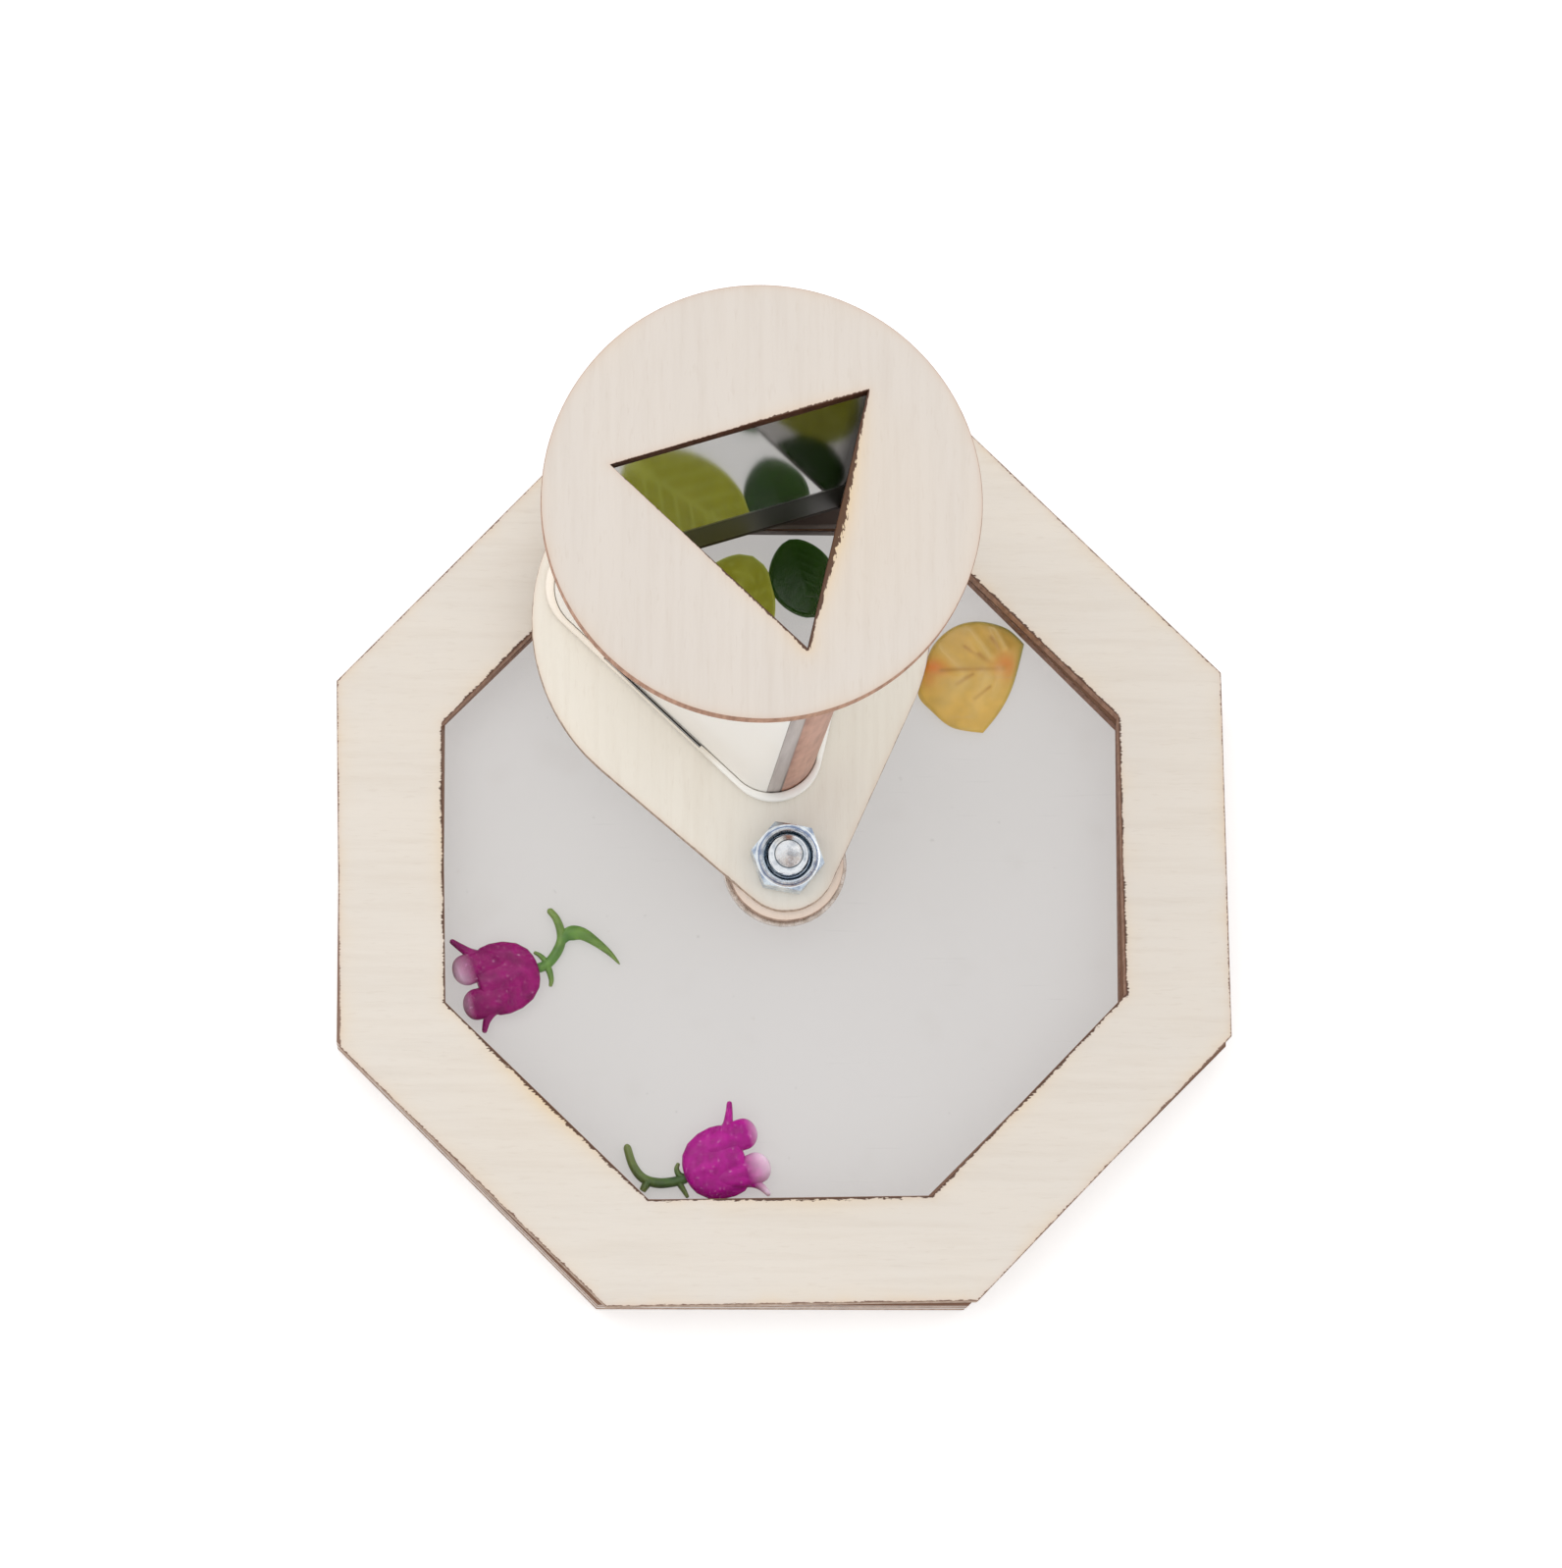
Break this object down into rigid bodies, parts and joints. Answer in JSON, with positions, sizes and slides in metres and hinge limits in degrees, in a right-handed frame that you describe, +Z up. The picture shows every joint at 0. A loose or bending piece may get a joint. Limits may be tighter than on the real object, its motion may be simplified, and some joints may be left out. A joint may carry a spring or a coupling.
{
  "type": "kaleidoscope",
  "caption": "Plywood kaleidoscope: an octagonal chamber of loose charms turns on a bolt under an upright triangular mirror tube with a round eyepiece.",
  "frame": {"origin": "centre of the octagonal chamber on the table, under the back ring", "axes": "+Z up along the pivot bolt and the mirror tube, +X to the right, +Y from the bolt's tip side towards the tube"},
  "size_m": [0.1122, 0.1122, 0.0911],
  "materials": {
    "ply": "raw laser-cut plywood with browned edges",
    "frosted_pane": "frosted",
    "clear_pane": "clear",
    "zinc_steel": "bright bluish zinc",
    "white_sheet": "white sheet, slightly glossy",
    "mirror": "front-surface mirror",
    "magenta_petals": "moulded plastic, paler at the tips",
    "green_stem": "moulded plastic",
    "amber": "translucent amber",
    "lime_leaf": "translucent yellow-green",
    "dark_leaf": "dark green"
  },
  "bodies": {
    "chamber": {"back_ring": "ply", "back_pane": "frosted_pane", "spacer_ring": "ply", "front_pane": "clear_pane", "front_ring": "ply", "hub_core": "ply", "lower_hub_disc": "ply", "hub_washer": "zinc_steel", "bolt": "zinc_steel", "nut": "zinc_steel"},
    "arm": {"upper_hub_disc": "ply", "bracket": "ply", "tube_foot": "white_sheet", "sleeve": "white_sheet", "mirror_left": "mirror", "mirror_right": "mirror", "mirror_far": "mirror", "eyepiece_disc": "ply"},
    "tulip_left": {"tulip_left_bell": "magenta_petals", "tulip_left_stem": "green_stem"},
    "tulip_low": {"tulip_low_bell": "magenta_petals", "tulip_low_stem": "green_stem"},
    "amber_charm": {"amber_leaf": "amber"},
    "lime_long_charm": {"lime_leaf_long": "lime_leaf"},
    "lime_round_charm": {"lime_leaf_round": "lime_leaf"},
    "dark_upper_charm": {"dark_leaf_upper": "dark_leaf"},
    "dark_lower_charm": {"dark_leaf_lower": "dark_leaf"}
  },
  "joints": [
    {"name": "arm_turn", "type": "hinge", "parent": "chamber", "child": "arm", "pos_m": [0, -0.001, 0.0122], "axis": [0, 0, 1], "continuous": true},
    {"name": "tulip_left_slide", "type": "slide", "parent": "chamber", "child": "tulip_left", "axis": [1, 0, 0], "range_m": [0, 0.008]},
    {"name": "tulip_low_slide", "type": "slide", "parent": "chamber", "child": "tulip_low", "axis": [0, 1, 0], "range_m": [0, 0.006]},
    {"name": "amber_leaf_slide", "type": "slide", "parent": "chamber", "child": "amber_charm", "axis": [-0.7071, -0.7071, 0], "range_m": [0, 0.007]},
    {"name": "lime_long_slide", "type": "slide", "parent": "chamber", "child": "lime_long_charm", "axis": [0, -1, 0], "range_m": [0, 0.005]},
    {"name": "lime_round_slide", "type": "slide", "parent": "chamber", "child": "lime_round_charm", "axis": [-0.7071, -0.7071, 0], "range_m": [0, 0.005]},
    {"name": "dark_upper_slide", "type": "slide", "parent": "chamber", "child": "dark_upper_charm", "axis": [1, 0, 0], "range_m": [0, 0.005]},
    {"name": "dark_lower_slide", "type": "slide", "parent": "chamber", "child": "dark_lower_charm", "axis": [0, -1, 0], "range_m": [0, 0.005]}
  ]
}
